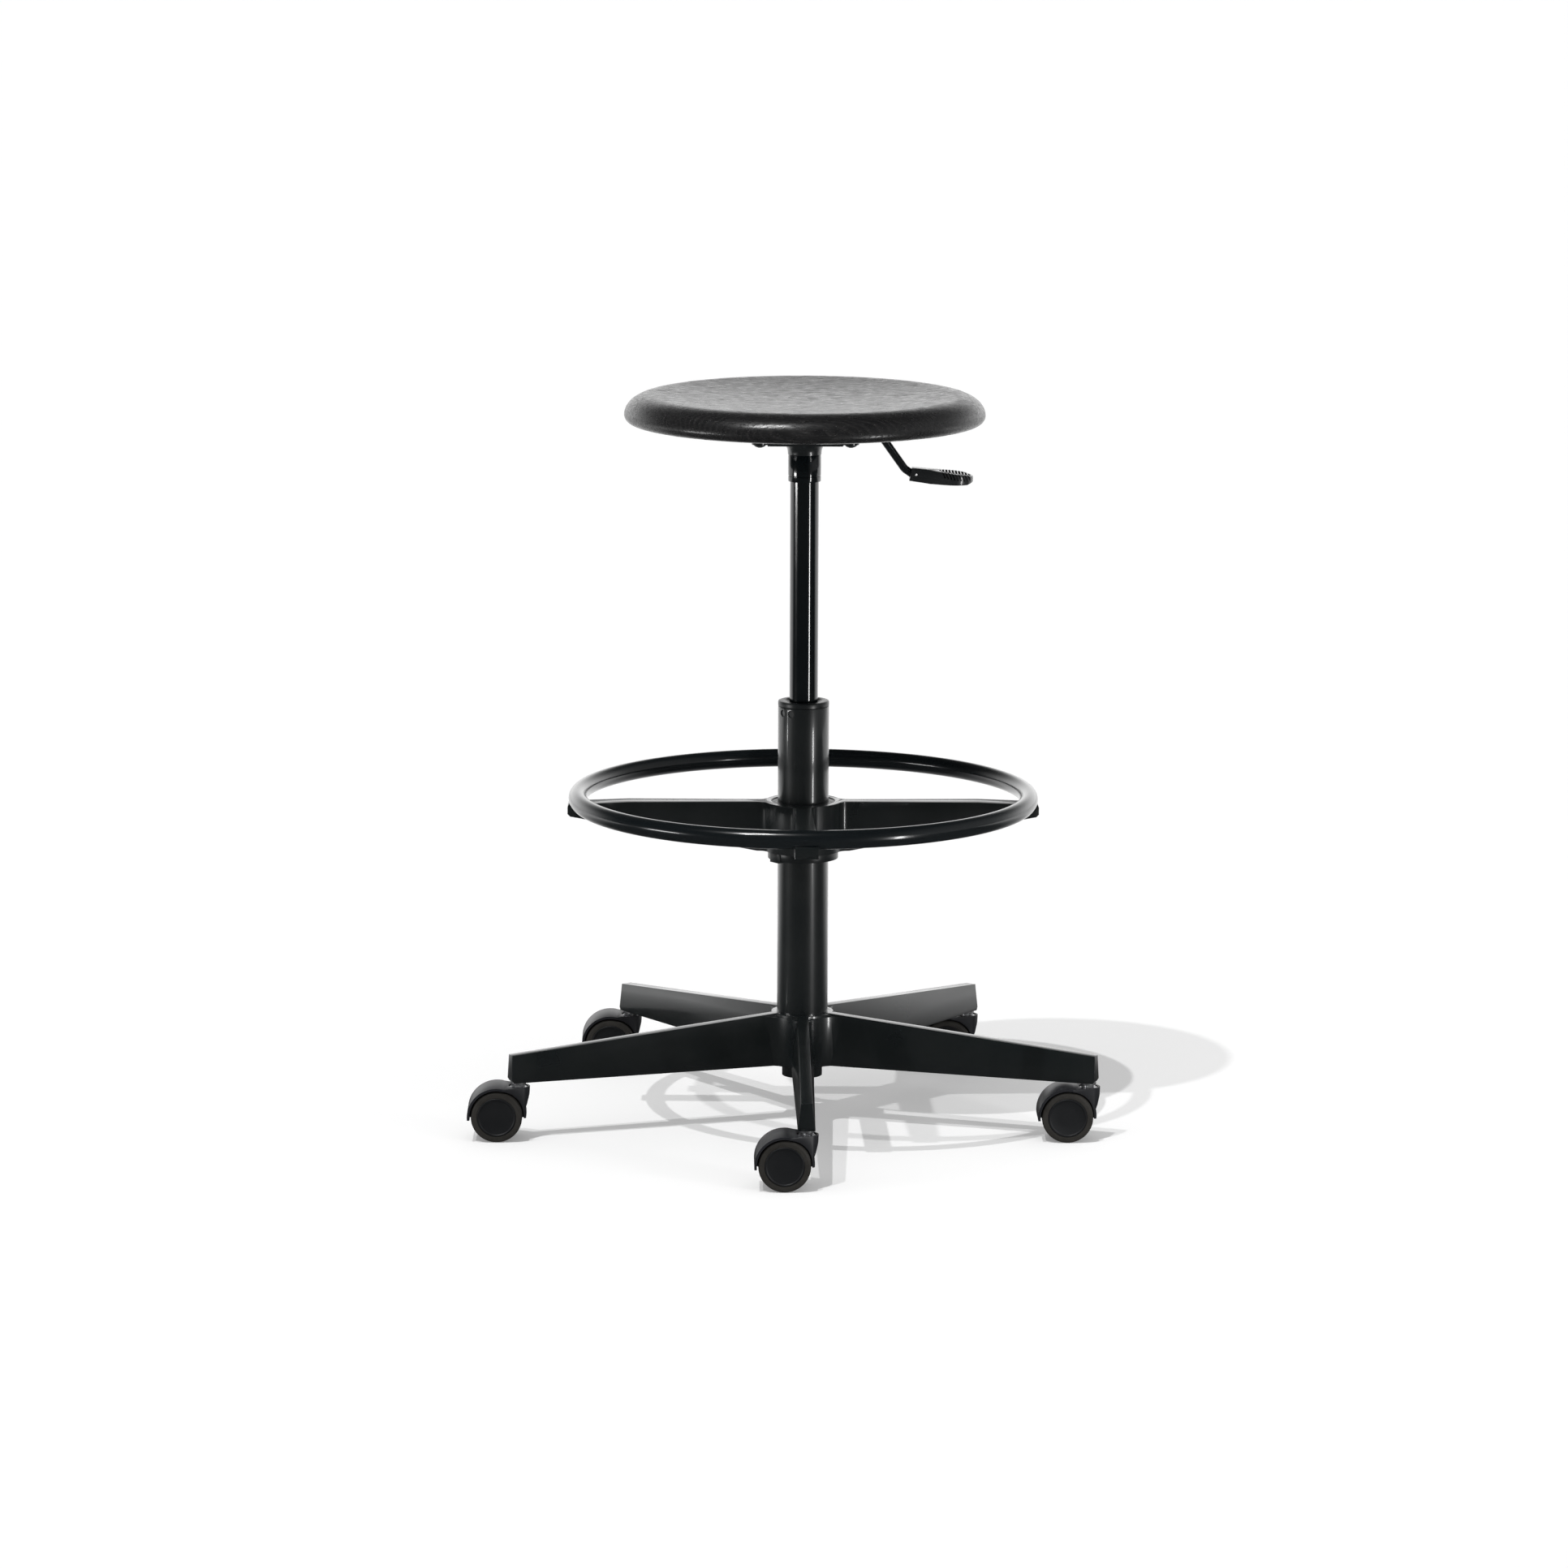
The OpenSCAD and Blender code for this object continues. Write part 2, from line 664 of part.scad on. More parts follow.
module wheel(side) {
    inner = web_half + 0.4;
    color("#1a1c1e") on_axle(side) difference() {
        translate([0, 0, inner]) cylinder(r = core_r, h = half_w - inner - 0.4);
        translate([0, 0, inner - eps]) cylinder(r = axle_r + run_gap, h = half_w - 3 + face_gap - inner + eps);
        translate([0, 0, inner - eps]) ring(core_r - 3, axle_r + 4, 8 + eps);
    }
}

module tyre(side) {
    inner = web_half + 0.8;
    color("#5a524b") on_axle(side) rotate_extrude() polygon([
        [core_r, inner], [wheel_r - 1.6, inner], [wheel_r - 0.5, inner + 0.6], [wheel_r, inner + 1.8],
        [wheel_r, half_w - 3], [wheel_r - 0.5, half_w - 1.5], [wheel_r - 1.6, half_w - 0.4], [wheel_r - 3, half_w],
        [core_r, half_w]]);
}

module caster1_stem() at_caster(1) stem();
module caster1_housing() at_caster(1) housing();
module caster1_axle() at_caster(1) axle();
module caster1_wheel_left() at_caster(1) wheel(-1);
module caster1_wheel_right() at_caster(1) wheel(1);
module caster1_tyre_left() at_caster(1) tyre(-1);
module caster1_tyre_right() at_caster(1) tyre(1);
module caster2_stem() at_caster(2) stem();
module caster2_housing() at_caster(2) housing();
module caster2_axle() at_caster(2) axle();
module caster2_wheel_left() at_caster(2) wheel(-1);
module caster2_wheel_right() at_caster(2) wheel(1);
module caster2_tyre_left() at_caster(2) tyre(-1);
module caster2_tyre_right() at_caster(2) tyre(1);
module caster3_stem() at_caster(3) stem();
module caster3_housing() at_caster(3) housing();
module caster3_axle() at_caster(3) axle();
module caster3_wheel_left() at_caster(3) wheel(-1);
module caster3_wheel_right() at_caster(3) wheel(1);
module caster3_tyre_left() at_caster(3) tyre(-1);
module caster3_tyre_right() at_caster(3) tyre(1);
module caster4_stem() at_caster(4) stem();
module caster4_housing() at_caster(4) housing();
module caster4_axle() at_caster(4) axle();
module caster4_wheel_left() at_caster(4) wheel(-1);
module caster4_wheel_right() at_caster(4) wheel(1);
module caster4_tyre_left() at_caster(4) tyre(-1);
module caster4_tyre_right() at_caster(4) tyre(1);
module caster5_stem() at_caster(5) stem();
module caster5_housing() at_caster(5) housing();
module caster5_axle() at_caster(5) axle();
module caster5_wheel_left() at_caster(5) wheel(-1);
module caster5_wheel_right() at_caster(5) wheel(1);
module caster5_tyre_left() at_caster(5) tyre(-1);
module caster5_tyre_right() at_caster(5) tyre(1);

seat();
seat_plate();
seat_screws();
neck_sleeve();
gas_cylinder();
cylinder_guide();
valve_body();
valve_pin();
piston_rod();
piston();
guide_bush();
column_tube();
column_cup();
bearing_race_lower();
bearing_balls();
bearing_race_upper();
retaining_clip();
lever_rod();
lever_pin();
lever_paddle();
footring_spider();
footring_tube();
footring_screws();
footring_bush();
base_star();
caster1_stem();
caster1_housing();
caster1_axle();
caster1_wheel_left();
caster1_wheel_right();
caster1_tyre_left();
caster1_tyre_right();
caster2_stem();
caster2_housing();
caster2_axle();
caster2_wheel_left();
caster2_wheel_right();
caster2_tyre_left();
caster2_tyre_right();
caster3_stem();
caster3_housing();
caster3_axle();
caster3_wheel_left();
caster3_wheel_right();
caster3_tyre_left();
caster3_tyre_right();
caster4_stem();
caster4_housing();
caster4_axle();
caster4_wheel_left();
caster4_wheel_right();
caster4_tyre_left();
caster4_tyre_right();
caster5_stem();
caster5_housing();
caster5_axle();
caster5_wheel_left();
caster5_wheel_right();
caster5_tyre_left();
caster5_tyre_right();
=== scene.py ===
import json
import math

import bpy
from mathutils import Matrix, Vector


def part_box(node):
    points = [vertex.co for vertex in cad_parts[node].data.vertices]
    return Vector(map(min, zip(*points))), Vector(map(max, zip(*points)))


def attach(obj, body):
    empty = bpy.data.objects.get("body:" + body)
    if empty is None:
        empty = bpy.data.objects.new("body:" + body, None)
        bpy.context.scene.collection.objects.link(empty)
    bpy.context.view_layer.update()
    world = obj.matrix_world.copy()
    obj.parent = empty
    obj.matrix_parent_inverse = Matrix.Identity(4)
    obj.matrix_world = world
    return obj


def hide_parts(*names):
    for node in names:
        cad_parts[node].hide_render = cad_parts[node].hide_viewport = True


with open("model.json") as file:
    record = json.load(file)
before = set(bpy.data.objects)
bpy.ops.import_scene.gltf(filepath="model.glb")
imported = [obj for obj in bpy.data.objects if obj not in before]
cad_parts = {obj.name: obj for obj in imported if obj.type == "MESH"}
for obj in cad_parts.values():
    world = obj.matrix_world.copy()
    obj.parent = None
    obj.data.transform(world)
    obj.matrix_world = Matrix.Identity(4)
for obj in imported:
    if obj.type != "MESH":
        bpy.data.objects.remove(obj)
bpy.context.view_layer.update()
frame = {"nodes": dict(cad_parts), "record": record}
cadNodes = frame["nodes"]
bodyOfNode = {n: body for body, names in frame["record"]["behaviour"]["bodies"].items() for n in names}
mm = 0.001
print("frame loaded:", len(cadNodes), "nodes")


# ---- small helpers for working on one object at a time

def leaveEditing():
    if bpy.context.object and bpy.context.object.mode != "OBJECT":
        bpy.ops.object.mode_set(mode="OBJECT")
    bpy.ops.object.select_all(action="DESELECT")


def workOn(ob):
    leaveEditing()
    ob.select_set(True)
    bpy.context.view_layer.objects.active = ob
    return ob


def startEditing(ob, kind="VERT"):
    workOn(ob)
    bpy.ops.object.mode_set(mode="EDIT")
    bpy.ops.mesh.select_mode(type=kind)
    bpy.ops.mesh.select_all(action="DESELECT")


def applyModifier(ob, kind, **values):
    workOn(ob)
    bpy.ops.object.modifier_add(type=kind)
    modifier = ob.modifiers[-1]
    for key, value in values.items():
        setattr(modifier, key, value)
    bpy.ops.object.modifier_apply(modifier=modifier.name)


def roundEdges(ob, width, segments=2, angle=32):
    applyModifier(ob, "BEVEL", width=width * mm, segments=segments, limit_method="ANGLE",
                  angle_limit=math.radians(angle), use_clamp_overlap=True)


def tidyMesh(ob, smooth=32):
    startEditing(ob)
    bpy.ops.mesh.select_all(action="SELECT")
    bpy.ops.mesh.remove_doubles(threshold=1e-6)
    bpy.ops.mesh.normals_make_consistent(inside=False)
    leaveEditing()
    workOn(ob)
    bpy.ops.object.shade_smooth_by_angle(angle=math.radians(smooth))


def setDown(ob, turn=None, place=None):
    workOn(ob)
    if turn:
        ob.rotation_euler = [math.radians(a) for a in turn]
    if place:
        ob.location = [v * mm for v in place]
    bpy.ops.object.transform_apply(location=True, rotation=True, scale=True)
    return ob


# a ring of points is pulled up through radius and height pairs, as on a lathe
def turnedShape(name, profile, sides=128, hollow=False, smooth=32):
    leaveEditing()
    startRadius, startHeight = profile[0]
    bpy.ops.mesh.primitive_circle_add(vertices=sides, radius=startRadius * mm,
                                      location=(0, 0, startHeight * mm),
                                      fill_type="NOTHING" if hollow else "NGON")
    ob = bpy.context.object
    ob.name = name
    bpy.ops.object.transform_apply(location=True, rotation=True, scale=True)
    bpy.ops.object.mode_set(mode="EDIT")
    bpy.ops.mesh.select_all(action="SELECT")
    for (fromRadius, fromHeight), (toRadius, toHeight) in zip(profile, profile[1:]):
        bpy.ops.mesh.extrude_region_move(
            TRANSFORM_OT_translate={"value": (0, 0, (toHeight - fromHeight) * mm)})
        if toRadius <= 0:
            bpy.ops.mesh.merge(type="CENTER")
        elif toRadius != fromRadius:
            grow = toRadius / fromRadius
            bpy.ops.transform.resize(value=(grow, grow, 1), center_override=(0, 0, 0))
    tidyMesh(ob, smooth)
    return ob


def arcPoints(centre, size, fromAngle, toAngle, steps):
    points = []
    for i in range(steps + 1):
        a = math.radians(fromAngle + (toAngle - fromAngle) * i / steps)
        points.append((centre[0] + size[0] * math.cos(a), centre[1] + size[1] * math.sin(a)))
    return points


# a loose copy of a cast part, welded, its flat faces made whole and its corners rounded
def castCopy(name, node, width, segments=2, angle=32, smooth=30):
    workOn(cadNodes[node])
    bpy.ops.object.duplicate()
    ob = bpy.context.object
    ob.name = name
    for key in list(ob.keys()):
        del ob[key]
    ob.parent = None
    ob.matrix_world = Matrix.Identity(4)
    ob.data.materials.clear()
    startEditing(ob)
    bpy.ops.mesh.select_all(action="SELECT")
    bpy.ops.mesh.customdata_custom_splitnormals_clear()
    bpy.ops.mesh.remove_doubles(threshold=1e-6)
    bpy.ops.mesh.mark_sharp(clear=True)
    bpy.ops.mesh.dissolve_limited(angle_limit=math.radians(0.4))
    leaveEditing()
    roundEdges(ob, width, segments, angle)
    workOn(ob)
    bpy.ops.object.shade_smooth_by_angle(angle=math.radians(smooth))
    return ob


def joinPieces(name, *parts):
    workOn(parts[0])
    for part in parts[1:]:
        part.select_set(True)
    if len(parts) > 1:
        bpy.ops.object.join()
    parts[0].name = name
    parts[0].data.name = name
    return parts[0]


def cutAway(ob, cutter):
    applyModifier(ob, "BOOLEAN", operation="DIFFERENCE", solver="EXACT", object=cutter)
    bpy.data.objects.remove(cutter)


def fitPiece(ob, material, node, *alsoFor):
    ob.data.materials.clear()
    ob.data.materials.append(material)
    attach(ob, bodyOfNode[node])
    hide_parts(node, *alsoFor)
    return ob


# ---- shader groups shared by the finishes

def newGroup(name, inputs, outputs):
    tree = bpy.data.node_groups.new(name, "ShaderNodeTree")
    for label, kind, value in inputs:
        socket = tree.interface.new_socket(name=label, in_out="INPUT", socket_type=kind)
        if value is not None:
            socket.default_value = value
    for label, kind in outputs:
        tree.interface.new_socket(name=label, in_out="OUTPUT", socket_type=kind)
    return tree, tree.nodes.new("NodeGroupInput"), tree.nodes.new("NodeGroupOutput")


def addNode(tree, kind, settings=None, **values):
    node = tree.nodes.new(kind)
    for key, value in (settings or {}).items():
        setattr(node, key, value)
    for key, value in values.items():
        node.inputs[int(key[1:]) if key[0] == "i" and key[1:].isdigit() else key].default_value = value
    return node


# fine grain of powder coat and moulded plastic: a tint and a height
def makeGrainGroup():
    tree, source, result = newGroup("coatingGrain", [
        ("Vector", "NodeSocketVector", None), ("Grain", "NodeSocketFloat", 900.0),
        ("Drift", "NodeSocketFloat", 14.0)],
        [("Height", "NodeSocketFloat"), ("Tint", "NodeSocketFloat"), ("Smudge", "NodeSocketFloat")])
    fine = addNode(tree, "ShaderNodeTexNoise", Detail=3.0, Roughness=0.55)
    coarse = addNode(tree, "ShaderNodeTexNoise", Detail=4.0, Roughness=0.6)
    smudge = addNode(tree, "ShaderNodeMapRange", i1=0.35, i2=0.7)
    for node in (fine, coarse):
        tree.links.new(source.outputs["Vector"], node.inputs["Vector"])
    tree.links.new(source.outputs["Grain"], fine.inputs["Scale"])
    tree.links.new(source.outputs["Drift"], coarse.inputs["Scale"])
    tree.links.new(coarse.outputs[0], smudge.inputs[0])
    tree.links.new(fine.outputs[0], result.inputs["Height"])
    tree.links.new(coarse.outputs[0], result.inputs["Tint"])
    tree.links.new(smudge.outputs[0], result.inputs["Smudge"])
    return tree


# open-pored oak: growth bands round a pith under the board, and short pores along the grain
def makeOakGroup():
    tree, source, result = newGroup("oakFigure", [
        ("Vector", "NodeSocketVector", None), ("Band Count", "NodeSocketFloat", 34.0),
        ("Wander", "NodeSocketFloat", 0.05)],
        [("Pores", "NodeSocketFloat"), ("Bands", "NodeSocketFloat"), ("Fleck", "NodeSocketFloat")])
    links = tree.links
    drift = addNode(tree, "ShaderNodeTexNoise", Scale=1.0, Detail=3.0, Roughness=0.45)
    driftMap = addNode(tree, "ShaderNodeMapping")
    driftMap.inputs["Scale"].default_value = (4.5, 11.0, 11.0)
    links.new(source.outputs["Vector"], driftMap.inputs["Vector"])
    links.new(driftMap.outputs[0], drift.inputs["Vector"])
    split = addNode(tree, "ShaderNodeSeparateXYZ")
    links.new(source.outputs["Vector"], split.inputs[0])
    # distance from the pith, which runs along X below the seat and a little to the back
    across = addNode(tree, "ShaderNodeMath", {"operation": "SUBTRACT"}, i1=0.035)
    links.new(split.outputs["Y"], across.inputs[0])
    depth = addNode(tree, "ShaderNodeMath", {"operation": "SUBTRACT"}, i1=0.655)
    links.new(split.outputs["Z"], depth.inputs[0])
    acrossSquare = addNode(tree, "ShaderNodeMath", {"operation": "MULTIPLY"})
    links.new(across.outputs[0], acrossSquare.inputs[0])
    links.new(across.outputs[0], acrossSquare.inputs[1])
    depthSquare = addNode(tree, "ShaderNodeMath", {"operation": "MULTIPLY_ADD"})
    links.new(depth.outputs[0], depthSquare.inputs[0])
    links.new(depth.outputs[0], depthSquare.inputs[1])
    links.new(acrossSquare.outputs[0], depthSquare.inputs[2])
    radius = addNode(tree, "ShaderNodeMath", {"operation": "SQRT"})
    links.new(depthSquare.outputs[0], radius.inputs[0])
    wobble = addNode(tree, "ShaderNodeMath", {"operation": "MULTIPLY_ADD"})
    links.new(drift.outputs[0], wobble.inputs[0])
    links.new(source.outputs["Wander"], wobble.inputs[1])
    links.new(radius.outputs[0], wobble.inputs[2])
    rings = addNode(tree, "ShaderNodeMath", {"operation": "MULTIPLY"})
    links.new(wobble.outputs[0], rings.inputs[0])
    scaled = addNode(tree, "ShaderNodeMath", {"operation": "MULTIPLY"}, i1=10.0)
    links.new(source.outputs["Band Count"], scaled.inputs[0])
    links.new(scaled.outputs[0], rings.inputs[1])
    saw = addNode(tree, "ShaderNodeMath", {"operation": "FRACT"})
    links.new(rings.outputs[0], saw.inputs[0])
    band = addNode(tree, "ShaderNodeMapRange", {"interpolation_type": "SMOOTHSTEP"}, i1=0.45, i2=1.0)
    links.new(saw.outputs[0], band.inputs[0])
    # pores: long thin noise, denser in the early wood
    poreMap = addNode(tree, "ShaderNodeMapping")
    poreMap.inputs["Scale"].default_value = (70.0, 900.0, 900.0)
    links.new(source.outputs["Vector"], poreMap.inputs["Vector"])
    poreNoise = addNode(tree, "ShaderNodeTexNoise", Scale=1.0, Detail=2.0, Roughness=0.5)
    links.new(poreMap.outputs[0], poreNoise.inputs["Vector"])
    limit = addNode(tree, "ShaderNodeMapRange", i1=0.0, i2=1.0, i3=0.60, i4=0.47)
    links.new(band.outputs[0], limit.inputs[0])
    above = addNode(tree, "ShaderNodeMath", {"operation": "SUBTRACT"})
    links.new(poreNoise.outputs[0], above.inputs[0])
    links.new(limit.outputs[0], above.inputs[1])
    pores = addNode(tree, "ShaderNodeMapRange", i1=0.0, i2=0.06)
    links.new(above.outputs[0], pores.inputs[0])
    # silvery flecks and broad tone changes
    fleckMap = addNode(tree, "ShaderNodeMapping")
    fleckMap.inputs["Scale"].default_value = (120.0, 190.0, 190.0)
    links.new(source.outputs["Vector"], fleckMap.inputs["Vector"])
    fleck = addNode(tree, "ShaderNodeTexNoise", Scale=1.0, Detail=4.0, Roughness=0.6)
    links.new(fleckMap.outputs[0], fleck.inputs["Vector"])
    links.new(pores.outputs[0], result.inputs["Pores"])
    links.new(band.outputs[0], result.inputs["Bands"])
    links.new(fleck.outputs[0], result.inputs["Fleck"])
    return tree


coatingGrain = makeGrainGroup()
oakFigure = makeOakGroup()


def newFinish(name):
    material = bpy.data.materials.new(name)
    material.use_nodes = True
    tree = material.node_tree
    shader = tree.nodes["Principled BSDF"]
    place = tree.nodes.new("ShaderNodeTexCoord")
    return material, tree, shader, place.outputs["Object"]


def useGroup(tree, group, vector, **values):
    node = tree.nodes.new("ShaderNodeGroup")
    node.node_tree = group
    tree.links.new(vector, node.inputs["Vector"])
    for key, value in values.items():
        node.inputs[key].default_value = value
    return node


def mixColours(tree, factor, first, second):
    mix = tree.nodes.new("ShaderNodeMix")
    mix.data_type = "RGBA"
    mix.inputs["A"].default_value = (*first, 1)
    mix.inputs["B"].default_value = (*second, 1)
    tree.links.new(factor, mix.inputs["Factor"])
    return mix.outputs["Result"]


def spread(tree, value, low, high, fromLow=0.3, fromHigh=0.7):
    node = addNode(tree, "ShaderNodeMapRange", i1=fromLow, i2=fromHigh, i3=low, i4=high)
    tree.links.new(value, node.inputs[0])
    return node.outputs[0]


# painted metal and plastic: dark base with a fine grain and faint smudges
def coatedFinish(name, dark, light, rough, grain=900.0, drift=14.0, depth=0.02, metal=0.0, specular=0.5,
                 coat=0.0, coatRough=0.1, bump=0.3):
    material, tree, shader, vector = newFinish(name)
    grainNode = useGroup(tree, coatingGrain, vector, Grain=grain, Drift=drift)
    tree.links.new(mixColours(tree, spread(tree, grainNode.outputs["Tint"], 0, 1), dark, light),
                   shader.inputs["Base Color"])
    tree.links.new(spread(tree, grainNode.outputs["Smudge"], rough[0], rough[1], 0, 1),
                   shader.inputs["Roughness"])
    relief = addNode(tree, "ShaderNodeBump", Strength=bump, Distance=depth * mm)
    tree.links.new(grainNode.outputs["Height"], relief.inputs["Height"])
    tree.links.new(relief.outputs[0], shader.inputs["Normal"])
    shader.inputs["Metallic"].default_value = metal
    shader.inputs["Specular IOR Level"].default_value = specular
    shader.inputs["Coat Weight"].default_value = coat
    shader.inputs["Coat Roughness"].default_value = coatRough
    return material


def oakFinish():
    material, tree, shader, vector = newFinish("blackStainedOak")
    oak = useGroup(tree, oakFigure, vector)
    stain = mixColours(tree, oak.outputs["Bands"], (0.009, 0.009, 0.0095), (0.018, 0.017, 0.017))
    worn = tree.nodes.new("ShaderNodeMix")
    worn.data_type = "RGBA"
    worn.inputs["B"].default_value = (0.002, 0.002, 0.0025, 1)
    tree.links.new(oak.outputs["Pores"], worn.inputs["Factor"])
    tree.links.new(stain, worn.inputs["A"])
    tree.links.new(worn.outputs["Result"], shader.inputs["Base Color"])
    sheen = spread(tree, oak.outputs["Fleck"], 0.24, 0.36)
    rough = addNode(tree, "ShaderNodeMath", {"operation": "MULTIPLY_ADD"}, i1=0.3)
    tree.links.new(oak.outputs["Pores"], rough.inputs[0])
    tree.links.new(sheen, rough.inputs[2])
    tree.links.new(rough.outputs[0], shader.inputs["Roughness"])
    height = addNode(tree, "ShaderNodeMath", {"operation": "MULTIPLY_ADD"}, i1=-1.0)
    tree.links.new(oak.outputs["Pores"], height.inputs[0])
    swell = addNode(tree, "ShaderNodeMath", {"operation": "MULTIPLY"}, i1=0.5)
    tree.links.new(oak.outputs["Fleck"], swell.inputs[0])
    tree.links.new(swell.outputs[0], height.inputs[2])
    relief = addNode(tree, "ShaderNodeBump", Strength=0.8, Distance=0.22 * mm)
    tree.links.new(height.outputs[0], relief.inputs["Height"])
    tree.links.new(relief.outputs[0], shader.inputs["Normal"])
    shader.inputs["Coat Weight"].default_value = 0.2
    shader.inputs["Coat Roughness"].default_value = 0.2
    return material


finishes = {
    "oak": oakFinish(),
    "powder": coatedFinish("satinBlackPowder", (0.0048, 0.0070, 0.0076), (0.0085, 0.0105, 0.0110), (0.27, 0.35),
                           grain=1400.0, depth=0.04, bump=0.2, coat=0.6, coatRough=0.11),
    "gloss": coatedFinish("glossBlackLacquer", (0.0012, 0.0026, 0.0034), (0.0024, 0.0042, 0.0050), (0.1, 0.16),
                          grain=500.0, depth=0.01, bump=0.12, coat=0.5, coatRough=0.06),
    "tube": coatedFinish("semiGlossBlackTube", (0.0050, 0.0070, 0.0080), (0.0062, 0.0082, 0.0094), (0.18, 0.21),
                         grain=1100.0, drift=5.0, depth=0.02, bump=0.15, coat=0.3, coatRough=0.08),
    "hood": coatedFinish("darkHoodPlastic", (0.0105, 0.0112, 0.0140), (0.0150, 0.0158, 0.0190), (0.36, 0.44),
                         grain=2200.0, depth=0.06, bump=0.3, specular=0.35),
    "wheel": coatedFinish("mattWheelPlastic", (0.0050, 0.0060, 0.0075), (0.0085, 0.0095, 0.0110), (0.46, 0.56),
                          grain=1800.0, depth=0.05, bump=0.3, specular=0.4),
    "tread": coatedFinish("greyTreadRubber", (0.0210, 0.0196, 0.0174), (0.0310, 0.0290, 0.0262), (0.42, 0.54),
                          grain=1300.0, drift=60.0, depth=0.06, bump=0.3, specular=0.14),
    "lever": coatedFinish("leverPlastic", (0.0100, 0.0115, 0.0125), (0.0160, 0.0175, 0.0185), (0.28, 0.38),
                          grain=1900.0, depth=0.04, bump=0.2, coat=0.5, coatRough=0.12),
    "bush": coatedFinish("blackGuidePlastic", (0.0045, 0.0065, 0.0072), (0.0080, 0.0098, 0.0105), (0.28, 0.38),
                         grain=1500.0, depth=0.03, bump=0.25),
    "chrome": coatedFinish("brightChrome", (0.80, 0.81, 0.83), (0.90, 0.91, 0.92), (0.26, 0.38),
                           grain=700.0, depth=0.01, bump=0.15, metal=1.0),
    "steel": coatedFinish("groundSteel", (0.42, 0.43, 0.44), (0.55, 0.56, 0.57), (0.25, 0.4),
                          grain=900.0, depth=0.02, bump=0.25, metal=1.0),
    "brass": coatedFinish("ballCageBrass", (0.52, 0.36, 0.13), (0.66, 0.48, 0.2), (0.25, 0.4),
                          grain=900.0, depth=0.02, bump=0.2, metal=1.0),
}
hiddenFinishes = {
    "cylinder_guide": "bush", "valve_body": "steel", "valve_pin": "steel", "piston_rod": "chrome",
    "piston": "bush", "column_cup": "steel", "bearing_race_lower": "steel", "bearing_balls": "brass",
    "bearing_race_upper": "steel", "retaining_clip": "steel", "lever_pin": "steel", "footring_screws": "steel",
}
for nodeName, finishName in hiddenFinishes.items():
    cadNodes[nodeName].data.materials.clear()
    cadNodes[nodeName].data.materials.append(finishes[finishName])
print("finishes ready:", len(finishes))


# ---- seat

seatShape = {"rollWidth": 27.7, "underWidth": 8.0, "underHeight": 7.29, "dish": 7.0, "sides": 224}


def buildSeat():
    low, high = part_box("seat")
    radius, bottom, top = high.x / mm, low.z / mm, high.z / mm
    middle = bottom + seatShape["underHeight"]
    crest = radius - seatShape["rollWidth"]
    profile = arcPoints((radius - seatShape["underWidth"], middle),
                        (seatShape["underWidth"], seatShape["underHeight"]), -90, 0, 10)
    profile += arcPoints((crest, middle), (seatShape["rollWidth"], top - middle), 4, 90, 24)
    for i in range(24, 0, -1):
        r = crest * i / 25
        profile.append((r, top - seatShape["dish"] * (1 - (r / crest) ** 2)))
    profile.append((0, top - seatShape["dish"]))
    seat = turnedShape("seatDisc", profile, seatShape["sides"], smooth=40)
    fitPiece(seat, finishes["oak"], "seat")


buildSeat()
print("seat turned")


# ---- seat plate, its screws and the neck

screwShape = {"spacing": 44.0, "radius": 6.0, "height": 3.0, "socket": 2.2}


def buildSeatPlate():
    plate = castCopy("seatPlateCasting", "seat_plate", 0.9, 3)
    fitPiece(plate, finishes["powder"], "seat_plate")


def buildScrews():
    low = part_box("seat_screws")[0]
    face = low.z / mm + screwShape["height"]
    profile = [(screwShape["socket"], face - 1.0), (screwShape["socket"], low.z / mm + 0.05)]
    profile += arcPoints((0, face), (screwShape["radius"], screwShape["height"]), -70, -8, 8)
    profile += [(screwShape["radius"], face), (3.0, face), (3.0, face + 12), (0, face + 12)]
    one = turnedShape("screw", profile, 40)
    copies = []
    for x in (-1, 1):
        for y in (-1, 1):
            workOn(one)
            bpy.ops.object.duplicate()
            spot = (x * screwShape["spacing"], y * screwShape["spacing"], 0)
            copies.append(setDown(bpy.context.object, place=spot))
    bpy.data.objects.remove(one)
    fitPiece(joinPieces("seatScrewHeads", *copies), finishes["bush"], "seat_screws")


neckShape = {"groove": 5.5, "grooveWidth": 1.1, "grooveDepth": 0.5, "step": 1.1}


